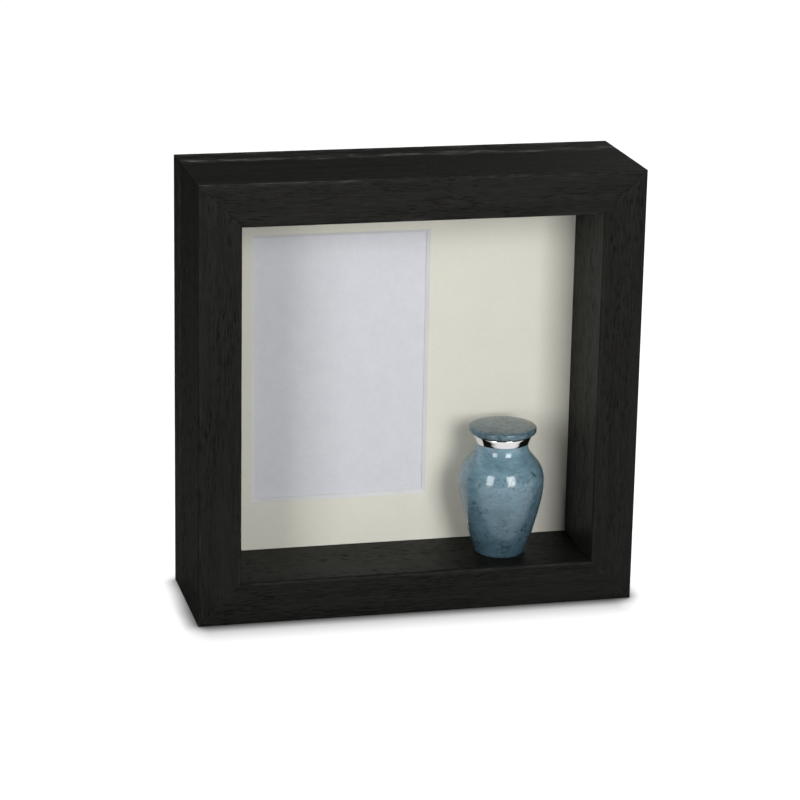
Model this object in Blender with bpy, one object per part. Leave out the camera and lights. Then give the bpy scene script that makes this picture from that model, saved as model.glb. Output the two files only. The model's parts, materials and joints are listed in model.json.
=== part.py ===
"""A square wooden shadow box: an open niche with a window mat at its back and a small keepsake urn inside.

The box is two mitred frames. The deep front frame forms the niche. The shallow rear frame is screwed
to its back, a little wider inside, which leaves a ledge for the four turn buttons. The buttons hold the
backing board, the photo print and the mat board in the front frame's rebate.

Metres, +X to the right, +Y to the back and +Z up. The origin is the middle of the footprint, at the base.
"""

import math

import bmesh
import bpy
from mathutils import Matrix, Vector

# General clearances and facets.
GAP = 0.0003                # left between neighbours that touch on the real object
MITRE_SETBACK = 0.00021     # along a rail, so that two mitred ends stand one GAP apart
ARC_STEPS = 4               # segments in a rounded edge
ROUND_SEGMENTS = 32         # facets round the urn
SMALL_SEGMENTS = 16         # facets round a screw

# The box. "Radius" is the distance from the box's middle axis to a rail's inner or outer side.
OUTER_RADIUS = 0.115
DEPTH = 0.0735
FRONT_Y = -DEPTH / 2
FACE_WIDTH = 0.0222
NICHE_RADIUS = OUTER_RADIUS - FACE_WIDTH
FRONT_FRAME_DEPTH = 0.055
OUTER_EASE = 0.0012
INNER_EASE = 0.0015
SEAM_CHAMFER = 0.0004
BACK_CHAMFER = 0.0008
REBATE_WIDTH = 0.005
REBATE_RADIUS = NICHE_RADIUS + REBATE_WIDTH
REBATE_START = 0.0495       # depth from the front face
REAR_FRAME_START = FRONT_FRAME_DEPTH + GAP
REAR_FRAME_WIDTH = 0.010
REAR_INNER_RADIUS = OUTER_RADIUS - REAR_FRAME_WIDTH

# The stack in the rebate, from the front.
BOARD_RADIUS = REBATE_RADIUS - 0.0005
MAT_FRONT = REBATE_START + GAP
MAT_THICKNESS = 0.0017
PRINT_FRONT = MAT_FRONT + MAT_THICKNESS + GAP
PRINT_THICKNESS = 0.0003
BACKING_FRONT = PRINT_FRONT + PRINT_THICKNESS + GAP
BACKING_THICKNESS = 0.0025
WINDOW_WIDTH = 0.090
WINDOW_HEIGHT = 0.140
WINDOW_CENTRE = (-0.0316, 0.1197)
PRINT_MARGIN = 0.005        # the print reaches this far behind the mat on each side

# Turn buttons and their screws.
BUTTON_PIVOT_RADIUS = 0.1012
BUTTON_FRONT = FRONT_FRAME_DEPTH + GAP
BUTTON_THICKNESS = 0.001
BUTTON_END_RADIUS = 0.0035
BUTTON_TIP_RADIUS = 0.0027
BUTTON_REACH = 0.0135       # pivot to the centre of the rounded tip
BUTTON_SHANK_RADIUS = 0.0013
BUTTON_HEAD_RADIUS = 0.0028
BUTTON_HEAD_HEIGHT = 0.0017
BUTTON_SCREW_LENGTH = 0.008

# Countersunk screws through the rear frame.
SCREW_OFFSET = 0.070
SCREW_RADIUS = OUTER_RADIUS - REAR_FRAME_WIDTH / 2
SCREW_SHANK_RADIUS = 0.0017
SCREW_HEAD_RADIUS = 0.0030
SCREW_HEAD_LAND = 0.0002
SCREW_LENGTH = 0.030

# V nails, seen along the box's depth as an L with its corner on the mitre.
NAIL_LEG = 0.005
NAIL_THICKNESS = 0.0006
NAIL_HEIGHT = 0.008
FRONT_NAIL_CORNER = 0.1035
REAR_NAIL_CORNER = 0.1072

# Sawtooth hanger, let into the back of the rear top rail.
HANGER_LENGTH = 0.040
HANGER_THICKNESS = 0.0008
HANGER_TOP_RADIUS = 0.1134
HANGER_WIDTH = 0.0046
HANGER_TOOTH = 0.0010
HANGER_TEETH = 11
HANGER_TOOTHED_LENGTH = 0.026
HANGER_RECESS_DEPTH = 0.0012
NAIL_CAVITY_BOTTOM = 0.1062
NAIL_CAVITY_DEPTH = 0.005
HANGER_SCREW_OFFSET = 0.0165
HANGER_SHANK_RADIUS = 0.0007
HANGER_HEAD_RADIUS = 0.0015
HANGER_HEAD_HEIGHT = 0.0005
HANGER_SCREW_LENGTH = 0.009

# The urn. Heights are above the niche floor.
URN_X = 0.0497
URN_Y = FRONT_Y + 0.0249
FLOOR_Z = FACE_WIDTH
URN_WALL = 0.0016
FOOT_RADIUS = 0.0126
FOOT_RECESS_RADIUS = 0.0115
FOOT_RECESS_TOP = 0.0014
PAD_RADIUS = FOOT_RECESS_RADIUS - GAP
PAD_THICKNESS = 0.0008
BELLY = (                   # (height, radius) points that the outline runs smoothly through
    (0.0003, FOOT_RADIUS),
    (0.0055, 0.0146),
    (0.0175, 0.0185),
    (0.0293, 0.0213),
    (0.0400, 0.0224),
    (0.0472, 0.0207),
    (0.0521, 0.0171),
    (0.0565, 0.0139),
    (0.0600, 0.0137),
)
BELLY_STEPS = 3             # facets between two of those points
CAVITY_BOTTOM = 0.0034
CAVITY_TOP = 0.0530
NECK_RADIUS = 0.0126
BORE_RADIUS = 0.0105
BORE_BOTTOM = 0.0570
NECK_TOP = 0.0648
BAND_TOP = 0.0650
BAND_OUTLINE = (            # (radius, height)
    (NECK_RADIUS + GAP, 0.0603),
    (0.0139, 0.0603),
    (0.0143, 0.0616),
    (0.0150, 0.0628),
    (0.0155, 0.0638),
    (0.0156, 0.0645),
    (0.0153, BAND_TOP),
    (NECK_RADIUS + GAP, BAND_TOP),
)
WASHER_INNER_RADIUS = 0.0109
WASHER_OUTER_RADIUS = 0.0146
WASHER_BOTTOM = BAND_TOP + GAP
WASHER_TOP = 0.0661
LID_RADIUS = 0.0177
LID_RIM_BOTTOM = 0.0656
LID_RIM_TOP = 0.0680
LID_TOP = 0.0698
LID_EDGE_RADIUS = 0.0011
LID_DOME_STEPS = 5
PLUG_RADIUS = 0.0100
PLUG_BOTTOM = 0.0603
PLUG_CHAMFER = 0.0006

# The four sides of a frame: name, turn about +Y from the top rail, in degrees.
SIDES = (("top", 0), ("right", 90), ("bottom", 180), ("left", 270))
RAIL_NAMES = {"top": "top_rail", "right": "right_stile", "bottom": "bottom_rail", "left": "left_stile"}
CORNERS = (("top_right", 0), ("bottom_right", 90), ("bottom_left", 180), ("top_left", 270))


def clear_scene():
    for obj in list(bpy.data.objects):
        bpy.data.objects.remove(obj)


def make_material(name, colour, roughness, metallic=0.0):
    material = bpy.data.materials.new(name)
    material.use_nodes = True
    shader = material.node_tree.nodes["Principled BSDF"]
    shader.inputs["Base Color"].default_value = (*colour, 1.0)
    shader.inputs["Roughness"].default_value = roughness
    shader.inputs["Metallic"].default_value = metallic
    material.diffuse_color = (*colour, 1.0)
    return material


# Placement -----------------------------------------------------------------------------------------------

def side_matrix(degrees):
    """A frame side's own axes: X along the rail, Y the depth from the front face, Z away from the axis."""
    turn = Matrix.Rotation(math.radians(degrees), 4, "Y")
    return Matrix.Translation((0, FRONT_Y, OUTER_RADIUS)) @ turn


def facing_back(x, depth, z):
    """Turns local Z to the back, at a point given by x, depth and z."""
    return Matrix.Translation((x, depth, z)) @ Matrix.Rotation(math.radians(-90), 4, "X")


URN_PLACE = Matrix.Translation((URN_X, URN_Y, FLOOR_Z))


# Shapes --------------------------------------------------------------------------------------------------

def arc(centre, radius, start, end, steps=ARC_STEPS):
    """Points of an arc, angles in degrees, both ends included."""
    angles = [math.radians(start + (end - start) * i / steps) for i in range(steps + 1)]
    return [(centre[0] + radius * math.cos(a), centre[1] + radius * math.sin(a)) for a in angles]


def join_loops(bm, loops, closed=False):
    """Skins a row of vertex loops. A loop of one vertex is a pole."""
    pairs = list(zip(loops, loops[1:]))
    if closed:
        pairs.append((loops[-1], loops[0]))
    for first, second in pairs:
        count = max(len(first), len(second))
        for i in range(count):
            j = (i + 1) % count
            corners = [first[i % len(first)], first[j % len(first)],
                       second[j % len(second)], second[i % len(second)]]
            bm.faces.new(list(dict.fromkeys(corners)))


def add_prism(bm, outline, start, end):
    """Extrudes an outline of (x, z) points along Y."""
    ends = [[bm.verts.new((x, y, z)) for x, z in outline] for y in (start, end)]
    join_loops(bm, ends)
    for loop in ends:
        bm.faces.new(loop)


def add_lathe(bm, profile, segments, place=Matrix(), ring=False):
    """Turns a profile of (radius, height) points about local Z. A ring's profile is closed on itself."""
    loops = []
    for radius, height in profile:
        count = 1 if radius == 0 else segments
        angles = [2 * math.pi * i / count for i in range(count)]
        loops.append([bm.verts.new(place @ Vector((radius * math.cos(a), radius * math.sin(a), height)))
                      for a in angles])
    join_loops(bm, loops, closed=ring)


def rectangle(x0, x1, z0, z1):
    return [(x0, z0), (x1, z0), (x1, z1), (x0, z1)]


def build(name, bm, material, place=Matrix(), sharp_degrees=None):
    """One named object from a mesh under construction. sharp_degrees shades it smooth between such edges."""
    bmesh.ops.recalc_face_normals(bm, faces=bm.faces)
    mesh = bpy.data.meshes.new(name)
    bm.to_mesh(mesh)
    bm.free()
    if sharp_degrees:
        mesh.shade_smooth()
        mesh.set_sharp_from_angle(angle=math.radians(sharp_degrees))
    obj = bpy.data.objects.new(name, mesh)
    bpy.context.scene.collection.objects.link(obj)
    obj.matrix_world = place
    if material:
        mesh.materials.append(material)
    return obj


def cut(obj, name, bm):
    """Takes a shape given in the object's own axes out of it."""
    cutter = build(name, bm, None, obj.matrix_world)
    cutter.display_type = "WIRE"
    cutter.hide_render = True
    boolean = obj.modifiers.new(name, "BOOLEAN")
    boolean.operation = "DIFFERENCE"
    boolean.object = cutter


# The two frames ------------------------------------------------------------------------------------------

def front_profile():
    """(radius, depth) outline of a front rail, with eased front edges and the rebate at the back."""
    inner = arc((NICHE_RADIUS + INNER_EASE, INNER_EASE), INNER_EASE, 180, 270)
    outer = arc((OUTER_RADIUS - OUTER_EASE, OUTER_EASE), OUTER_EASE, 270, 360)
    return inner + outer + [
        (OUTER_RADIUS, FRONT_FRAME_DEPTH - SEAM_CHAMFER),
        (OUTER_RADIUS - SEAM_CHAMFER, FRONT_FRAME_DEPTH),
        (REBATE_RADIUS, FRONT_FRAME_DEPTH),
        (REBATE_RADIUS, REBATE_START),
        (NICHE_RADIUS, REBATE_START),
    ]


def rear_profile():
    """(radius, depth) outline of a rear rail."""
    return [
        (REAR_INNER_RADIUS, REAR_FRAME_START),
        (OUTER_RADIUS - SEAM_CHAMFER, REAR_FRAME_START),
        (OUTER_RADIUS, REAR_FRAME_START + SEAM_CHAMFER),
        (OUTER_RADIUS, DEPTH - BACK_CHAMFER),
        (OUTER_RADIUS - BACK_CHAMFER, DEPTH),
        (REAR_INNER_RADIUS, DEPTH),
    ]


def make_rail(name, profile, material, place):
    """A rail whose two ends are cut at 45 degrees."""
    bm = bmesh.new()
    ends = [[bm.verts.new((hand * (radius - MITRE_SETBACK), depth, radius)) for radius, depth in profile]
            for hand in (-1, 1)]
    join_loops(bm, ends)
    for loop in ends:
        bm.faces.new(loop)
    return build(name, bm, material, place)


def nail_outline(corner, hand, growth=0.0):
    """The L of a V nail at one end of a rail, grown outwards by growth for its slot."""
    low = corner - growth
    inner = corner + NAIL_THICKNESS + growth
    high = corner + NAIL_LEG + growth
    points = [(low, low), (high, low), (high, inner), (inner, inner), (inner, high), (low, high)]
    return [(hand * x, z) for x, z in points]


def screw_clearance():
    """Profile of the countersunk hole for a rear screw, local Z 0 at the rear frame's back."""
    length = DEPTH - REAR_FRAME_START
    hole = SCREW_SHANK_RADIUS + GAP
    mouth = SCREW_HEAD_RADIUS + 3 * GAP
    return [(0, -length - 0.002), (hole, -length - 0.002), (hole, hole - mouth), (mouth, 0),
            (mouth, 0.001), (0, 0.001)]


def blind_hole(bm, x, radius, hole_radius, depth):
    """A round hole from depth out through the back of the front frame."""
    length = REAR_FRAME_START - depth
    profile = [(0, 0), (hole_radius, 0), (hole_radius, length), (0, length)]
    add_lathe(bm, profile, SMALL_SEGMENTS, facing_back(x, depth, radius))


def make_front_frame(wood):
    for side, degrees in SIDES:
        rail = make_rail("front_" + RAIL_NAMES[side], front_profile(), wood, side_matrix(degrees))
        holes = bmesh.new()
        for hand in (-1, 1):
            slot = nail_outline(FRONT_NAIL_CORNER, hand, GAP)
            add_prism(holes, slot, FRONT_FRAME_DEPTH - NAIL_HEIGHT - 2 * GAP, REAR_FRAME_START)
            tip = DEPTH - SCREW_LENGTH - 2 * GAP
            blind_hole(holes, hand * SCREW_OFFSET, SCREW_RADIUS, SCREW_SHANK_RADIUS + GAP, tip)
        tip = BUTTON_FRONT + BUTTON_THICKNESS - BUTTON_SCREW_LENGTH
        blind_hole(holes, 0, BUTTON_PIVOT_RADIUS, BUTTON_SHANK_RADIUS + GAP, tip)
        cut(rail, rail.name + "_holes", holes)


def make_rear_frame(wood):
    for side, degrees in SIDES:
        rail = make_rail("rear_" + RAIL_NAMES[side], rear_profile(), wood, side_matrix(degrees))
        holes = bmesh.new()
        for hand in (-1, 1):
            slot = nail_outline(REAR_NAIL_CORNER, hand, GAP)
            add_prism(holes, slot, DEPTH - NAIL_HEIGHT - 2 * GAP, DEPTH + GAP)
            add_lathe(holes, screw_clearance(), SMALL_SEGMENTS,
                      facing_back(hand * SCREW_OFFSET, DEPTH, SCREW_RADIUS))
        cut(rail, rail.name + "_holes", holes)
        if side == "top":
            cut_hanger_recess(rail)


def cut_hanger_recess(rail):
    """The shallow bed of the hanger, the deeper pocket for the wall nail's head, and two pilot holes."""
    half = HANGER_LENGTH / 2 + GAP
    bed = bmesh.new()
    add_prism(bed, rectangle(-half, half, NAIL_CAVITY_BOTTOM, HANGER_TOP_RADIUS + GAP),
              DEPTH - HANGER_RECESS_DEPTH, DEPTH + GAP)
    cut(rail, "hanger_bed", bed)
    half = HANGER_TOOTHED_LENGTH / 2
    pocket = bmesh.new()
    add_prism(pocket, rectangle(-half, half, NAIL_CAVITY_BOTTOM + GAP, HANGER_TOP_RADIUS - GAP),
              DEPTH - NAIL_CAVITY_DEPTH, DEPTH)
    cut(rail, "hanger_pocket", pocket)
    pilots = bmesh.new()
    reach = HANGER_SCREW_LENGTH + GAP
    hole = HANGER_SHANK_RADIUS + GAP
    for hand in (-1, 1):
        add_lathe(pilots, [(0, -reach), (hole, -reach), (hole, 0), (0, 0)], SMALL_SEGMENTS,
                  facing_back(hand * HANGER_SCREW_OFFSET, DEPTH - GAP, hanger_middle()))
    cut(rail, "hanger_pilots", pilots)


def make_v_nails(steel):
    """One V nail in each corner of each frame, driven from the back."""
    for frame, corner, back in (("front", FRONT_NAIL_CORNER, FRONT_FRAME_DEPTH),
                                ("rear", REAR_NAIL_CORNER, DEPTH)):
        for place, degrees in CORNERS:
            bm = bmesh.new()
            add_prism(bm, nail_outline(corner, 1), back - GAP - NAIL_HEIGHT, back - GAP)
            build(f"{frame}_v_nail_{place}", bm, steel, side_matrix(degrees))


def make_rear_screws(steel):
    """Two countersunk screws through each rear rail into the front rail."""
    head = SCREW_HEAD_RADIUS
    shank = SCREW_SHANK_RADIUS
    neck = shank - head - SCREW_HEAD_LAND
    profile = [(0, -SCREW_LENGTH), (shank, -SCREW_LENGTH + 2 * shank), (shank, neck),
               (head, -SCREW_HEAD_LAND), (head, 0), (0, 0)]
    for side, degrees in SIDES:
        for end, hand in (("a", -1), ("b", 1)):
            bm = bmesh.new()
            add_lathe(bm, profile, SMALL_SEGMENTS)
            spot = facing_back(hand * SCREW_OFFSET, DEPTH - GAP, SCREW_RADIUS)
            build(f"rear_screw_{side}_{end}", bm, steel, side_matrix(degrees) @ spot, sharp_degrees=30)


# The stack in the rebate ---------------------------------------------------------------------------------

def make_mat_board(card):
    """A square board with one window, whose edge is bevelled at 45 degrees and opens towards the front."""
    width = WINDOW_WIDTH / 2
    height = WINDOW_HEIGHT / 2
    x, z = WINDOW_CENTRE
    z -= OUTER_RADIUS
    front = MAT_FRONT
    back = MAT_FRONT + MAT_THICKNESS
    wide = width + MAT_THICKNESS
    tall = height + MAT_THICKNESS
    board = rectangle(-BOARD_RADIUS, BOARD_RADIUS, -BOARD_RADIUS, BOARD_RADIUS)
    layers = (
        (board, front),
        (board, back),
        (rectangle(x - width, x + width, z - height, z + height), back),
        (rectangle(x - wide, x + wide, z - tall, z + tall), front),
    )
    bm = bmesh.new()
    join_loops(bm, [[bm.verts.new((px, y, pz)) for px, pz in outline] for outline, y in layers], closed=True)
    build("mat_board", bm, card, side_matrix(0))


def make_photo_print(paper):
    """The blank print behind the window."""
    x, z = WINDOW_CENTRE
    z -= OUTER_RADIUS
    width = WINDOW_WIDTH / 2 + PRINT_MARGIN
    height = WINDOW_HEIGHT / 2 + PRINT_MARGIN
    bm = bmesh.new()
    add_prism(bm, rectangle(x - width, x + width, z - height, z + height),
              PRINT_FRONT, PRINT_FRONT + PRINT_THICKNESS)
    build("photo_print", bm, paper, side_matrix(0))


def make_backing_board(board):
    bm = bmesh.new()
    add_prism(bm, rectangle(-BOARD_RADIUS, BOARD_RADIUS, -BOARD_RADIUS, BOARD_RADIUS),
              BACKING_FRONT, BACKING_FRONT + BACKING_THICKNESS)
    build("backing_board", bm, board, side_matrix(0))


def make_turn_buttons(steel):
    """A flat steel finger on each side, its origin on its pivot, pointing to the middle of the box."""
    tip = arc((0, -BUTTON_REACH), BUTTON_TIP_RADIUS, 180, 360, 8)
    root = arc((0, 0), BUTTON_END_RADIUS, 0, 180, 10)
    for side, degrees in SIDES:
        pivot = Matrix.Translation((0, BUTTON_FRONT, BUTTON_PIVOT_RADIUS))
        bm = bmesh.new()
        add_prism(bm, tip + root, 0, BUTTON_THICKNESS)
        button = build("turn_button_" + side, bm, steel, side_matrix(degrees) @ pivot)
        hole = bmesh.new()
        reach = BUTTON_THICKNESS + GAP
        radius = BUTTON_SHANK_RADIUS + GAP
        add_lathe(hole, [(0, -GAP), (radius, -GAP), (radius, reach), (0, reach)], SMALL_SEGMENTS,
                  facing_back(0, 0, 0))
        cut(button, button.name + "_hole", hole)


def make_button_screws(steel):
    """The pan head screw that each button turns on."""
    under = BUTTON_FRONT + BUTTON_THICKNESS + GAP
    head = BUTTON_HEAD_RADIUS
    edge = 0.4 * BUTTON_HEAD_HEIGHT
    shank = BUTTON_SHANK_RADIUS
    tip = GAP - BUTTON_SCREW_LENGTH
    profile = [(0, tip), (shank, tip + shank), (shank, 0), (head, 0), (head, edge),
               (0.6 * head, BUTTON_HEAD_HEIGHT), (0, BUTTON_HEAD_HEIGHT)]
    for side, degrees in SIDES:
        bm = bmesh.new()
        add_lathe(bm, profile, SMALL_SEGMENTS)
        spot = facing_back(0, under, BUTTON_PIVOT_RADIUS)
        build("button_screw_" + side, bm, steel, side_matrix(degrees) @ spot, sharp_degrees=40)


# The hanger ----------------------------------------------------------------------------------------------

def hanger_middle():
    """The screws' distance from the box's axis: the middle of the strip above its teeth."""
    return HANGER_TOP_RADIUS - HANGER_WIDTH / 2


def hanger_outline():
    """A strip whose lower edge is cut into teeth along its middle."""
    half = HANGER_LENGTH / 2
    bottom = HANGER_TOP_RADIUS - HANGER_WIDTH
    pitch = HANGER_TOOTHED_LENGTH / HANGER_TEETH
    left = -HANGER_TOOTHED_LENGTH / 2
    teeth = [(left, bottom)]
    for i in range(HANGER_TEETH):
        teeth += [(left + (i + 0.5) * pitch, bottom + HANGER_TOOTH), (left + (i + 1) * pitch, bottom)]
    top = [(half, HANGER_TOP_RADIUS), (-half, HANGER_TOP_RADIUS)]
    return [(-half, bottom)] + teeth + [(half, bottom)] + top


def make_hanger(steel):
    back = DEPTH - GAP / 3
    bm = bmesh.new()
    add_prism(bm, hanger_outline(), back - HANGER_THICKNESS, back)
    hanger = build("sawtooth_hanger", bm, steel, side_matrix(0))
    holes = bmesh.new()
    spots = [facing_back(hand * HANGER_SCREW_OFFSET, back, hanger_middle()) for hand in (-1, 1)]
    shank = HANGER_SHANK_RADIUS
    head = HANGER_HEAD_RADIUS
    top = GAP / 3 - HANGER_HEAD_HEIGHT
    seat = [(0, -HANGER_THICKNESS - GAP), (shank + GAP, -HANGER_THICKNESS - GAP), (shank + GAP, top - GAP),
            (head + GAP, top - GAP), (head + GAP, GAP), (0, GAP)]
    screw = [(0, -HANGER_SCREW_LENGTH), (shank, -HANGER_SCREW_LENGTH + 2 * shank), (shank, top), (head, top),
             (head, 0), (0, 0)]
    for spot in spots:
        add_lathe(holes, seat, SMALL_SEGMENTS, spot)
    cut(hanger, "hanger_holes", holes)
    for end, spot in zip(("left", "right"), spots):
        bm = bmesh.new()
        add_lathe(bm, screw, SMALL_SEGMENTS)
        build("hanger_screw_" + end, bm, steel, side_matrix(0) @ spot, sharp_degrees=30)


# The urn -------------------------------------------------------------------------------------------------

def smooth_outline(points, steps):
    """A Catmull-Rom curve through (height, radius) points, returned as (radius, height) points."""
    rows = [Vector(p) for p in points]
    rows = [2 * rows[0] - rows[1]] + rows + [2 * rows[-1] - rows[-2]]
    curve = []
    for before, start, end, after in zip(rows, rows[1:], rows[2:], rows[3:]):
        for i in range(steps):
            t = i / steps
            point = (2 * start + (end - before) * t + (2 * before - 5 * start + 4 * end - after) * t ** 2
                     + (3 * start - before - 3 * end + after) * t ** 3) / 2
            curve.append((point.y, point.x))
    curve.append((points[-1][1], points[-1][0]))
    return curve


def make_urn_body(enamel):
    """A hollow vase on a foot ring, its neck a plain tube that the band slips over."""
    outside = smooth_outline(BELLY, BELLY_STEPS)
    inside = [(radius - URN_WALL, height) for radius, height in reversed(outside)
              if CAVITY_BOTTOM + 0.001 < height < CAVITY_TOP]
    bottom = BELLY[0][0]
    profile = [(0, FOOT_RECESS_TOP), (FOOT_RECESS_RADIUS, FOOT_RECESS_TOP), (FOOT_RECESS_RADIUS, bottom)]
    profile += outside
    profile += [(NECK_RADIUS, BELLY[-1][0]), (NECK_RADIUS, NECK_TOP), (BORE_RADIUS, NECK_TOP),
                (BORE_RADIUS, BORE_BOTTOM)]
    profile += inside
    profile += [(inside[-1][0] - 0.001, CAVITY_BOTTOM), (0, CAVITY_BOTTOM)]
    bm = bmesh.new()
    add_lathe(bm, profile, ROUND_SEGMENTS)
    build("urn_body", bm, enamel, URN_PLACE, sharp_degrees=40)


def make_base_pad(felt):
    bottom = BELLY[0][0]
    top = bottom + PAD_THICKNESS
    bm = bmesh.new()
    add_lathe(bm, [(0, bottom), (PAD_RADIUS, bottom), (PAD_RADIUS, top), (0, top)], ROUND_SEGMENTS)
    build("urn_base_pad", bm, felt, URN_PLACE, sharp_degrees=40)


def make_neck_band(chrome):
    bm = bmesh.new()
    add_lathe(bm, BAND_OUTLINE, ROUND_SEGMENTS, ring=True)
    build("urn_neck_band", bm, chrome, URN_PLACE, sharp_degrees=40)


def make_lid_washer(rubber):
    outline = rectangle(WASHER_INNER_RADIUS, WASHER_OUTER_RADIUS, WASHER_BOTTOM, WASHER_TOP)
    bm = bmesh.new()
    add_lathe(bm, outline, ROUND_SEGMENTS, ring=True)
    build("urn_lid_washer", bm, rubber, URN_PLACE, sharp_degrees=40)


def make_lid(enamel):
    """A low domed disc with the plug that screws into the neck."""
    seat = WASHER_TOP + GAP
    seat_radius = WASHER_OUTER_RADIUS + GAP
    edge = LID_EDGE_RADIUS
    rim = arc((LID_RADIUS - edge, LID_RIM_BOTTOM + edge), edge, -90, 0)
    rise = LID_TOP - LID_RIM_TOP
    dome = [(LID_RADIUS * math.cos(a), LID_RIM_TOP + rise * math.sin(a))
            for a in (math.radians(90 * i / LID_DOME_STEPS) for i in range(LID_DOME_STEPS))]
    profile = [(0, PLUG_BOTTOM), (PLUG_RADIUS - PLUG_CHAMFER, PLUG_BOTTOM),
               (PLUG_RADIUS, PLUG_BOTTOM + PLUG_CHAMFER), (PLUG_RADIUS, seat), (seat_radius, seat),
               (seat_radius, LID_RIM_BOTTOM)]
    profile += rim + dome + [(0, LID_TOP)]
    bm = bmesh.new()
    add_lathe(bm, profile, ROUND_SEGMENTS)
    build("urn_lid", bm, enamel, URN_PLACE, sharp_degrees=40)


def main():
    clear_scene()
    wood = make_material("black_stained_wood", (0.016, 0.016, 0.015), 0.6)
    steel = make_material("zinc_steel", (0.62, 0.62, 0.60), 0.35, 1.0)
    make_front_frame(wood)
    make_rear_frame(wood)
    make_v_nails(steel)
    make_rear_screws(steel)
    make_mat_board(make_material("cream_card", (0.78, 0.76, 0.66), 0.9))
    make_photo_print(make_material("blank_print", (0.72, 0.73, 0.75), 0.7))
    make_backing_board(make_material("hardboard", (0.24, 0.14, 0.07), 0.8))
    make_turn_buttons(steel)
    make_button_screws(steel)
    make_hanger(steel)
    enamel = make_material("blue_enamel", (0.19, 0.30, 0.36), 0.12)
    make_urn_body(enamel)
    make_lid(enamel)
    make_neck_band(make_material("chrome", (0.86, 0.86, 0.86), 0.06, 1.0))
    make_lid_washer(make_material("black_rubber", (0.03, 0.03, 0.03), 0.7))
    make_base_pad(make_material("black_felt", (0.03, 0.03, 0.035), 0.95))


main()
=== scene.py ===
"""Looks of the square shadow box with its keepsake urn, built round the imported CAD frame. Metres, +Z up."""

import json
import math
import random

import bmesh
import bpy
from mathutils import Matrix, Vector, noise


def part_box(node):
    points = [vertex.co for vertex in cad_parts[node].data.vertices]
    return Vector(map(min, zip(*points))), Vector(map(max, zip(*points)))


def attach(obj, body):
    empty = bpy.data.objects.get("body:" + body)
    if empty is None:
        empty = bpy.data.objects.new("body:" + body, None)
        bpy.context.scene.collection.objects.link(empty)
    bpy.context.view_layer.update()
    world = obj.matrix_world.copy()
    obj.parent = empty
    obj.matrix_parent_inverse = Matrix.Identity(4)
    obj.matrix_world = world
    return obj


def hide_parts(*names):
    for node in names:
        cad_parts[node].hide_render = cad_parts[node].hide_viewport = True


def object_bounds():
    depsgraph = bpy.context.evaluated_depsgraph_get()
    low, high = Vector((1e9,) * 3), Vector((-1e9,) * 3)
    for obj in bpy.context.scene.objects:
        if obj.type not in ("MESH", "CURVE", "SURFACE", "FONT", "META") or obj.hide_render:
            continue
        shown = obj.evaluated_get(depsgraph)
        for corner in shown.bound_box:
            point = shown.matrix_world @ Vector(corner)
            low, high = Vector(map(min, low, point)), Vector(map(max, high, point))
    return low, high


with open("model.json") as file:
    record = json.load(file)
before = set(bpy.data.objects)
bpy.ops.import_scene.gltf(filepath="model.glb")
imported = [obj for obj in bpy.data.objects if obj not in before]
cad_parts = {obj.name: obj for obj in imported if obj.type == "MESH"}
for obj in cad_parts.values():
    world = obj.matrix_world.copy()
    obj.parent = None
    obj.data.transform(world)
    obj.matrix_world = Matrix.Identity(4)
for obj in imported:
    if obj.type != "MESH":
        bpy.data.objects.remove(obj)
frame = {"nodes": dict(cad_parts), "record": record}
CAD_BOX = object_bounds()

# The two frames, read from the CAD. Depths run back from the front face, and radii run out from the box's
# middle axis.
FRONT_Y = CAD_BOX[0].y
DEPTH = CAD_BOX[1].y - CAD_BOX[0].y
OUTER = CAD_BOX[1].x
MIDDLE_Z = (CAD_BOX[0].z + CAD_BOX[1].z) / 2
NICHE = OUTER - (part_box("front_bottom_rail")[1].z - CAD_BOX[0].z)
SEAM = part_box("front_top_rail")[1].y - FRONT_Y
REAR_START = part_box("rear_top_rail")[0].y - FRONT_Y
REAR_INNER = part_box("rear_top_rail")[0].z - MIDDLE_Z
MAT_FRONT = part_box("mat_board")[0].y - FRONT_Y
MAT_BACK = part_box("mat_board")[1].y - FRONT_Y
MAT_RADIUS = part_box("mat_board")[1].x
REBATE_START = MAT_FRONT - 0.0003
REBATE_RADIUS = MAT_RADIUS + 0.0005

# Fine edges of the woodwork.
JOINT_HALF_GAP = 0.00003
FRONT_OUTER_EASE = 0.0012
FRONT_INNER_EASE = 0.0015
SEAM_CHAMFER = 0.00035
BACK_EASE = 0.0008
CRISP_EDGE = 0.00012
RAIL_STATIONS = 200
DENT_REACH = 0.0022
MITRE_WEAR = 0.2
STILE_WEAR_AND_HIGHLIGHT = 0.5

# The mat's window, and the print behind it.
PRINT_MARGIN = 0.005
WINDOW_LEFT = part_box("photo_print")[0].x + PRINT_MARGIN
WINDOW_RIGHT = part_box("photo_print")[1].x - PRINT_MARGIN
WINDOW_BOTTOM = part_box("photo_print")[0].z + PRINT_MARGIN
WINDOW_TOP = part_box("photo_print")[1].z - PRINT_MARGIN

# The urn. Heights are above the niche floor.
URN_X = (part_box("urn_body")[0].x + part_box("urn_body")[1].x) / 2
URN_Y = (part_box("urn_body")[0].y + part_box("urn_body")[1].y) / 2
FLOOR_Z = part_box("front_bottom_rail")[1].z
THREAD_PITCH = 0.00125

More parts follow.
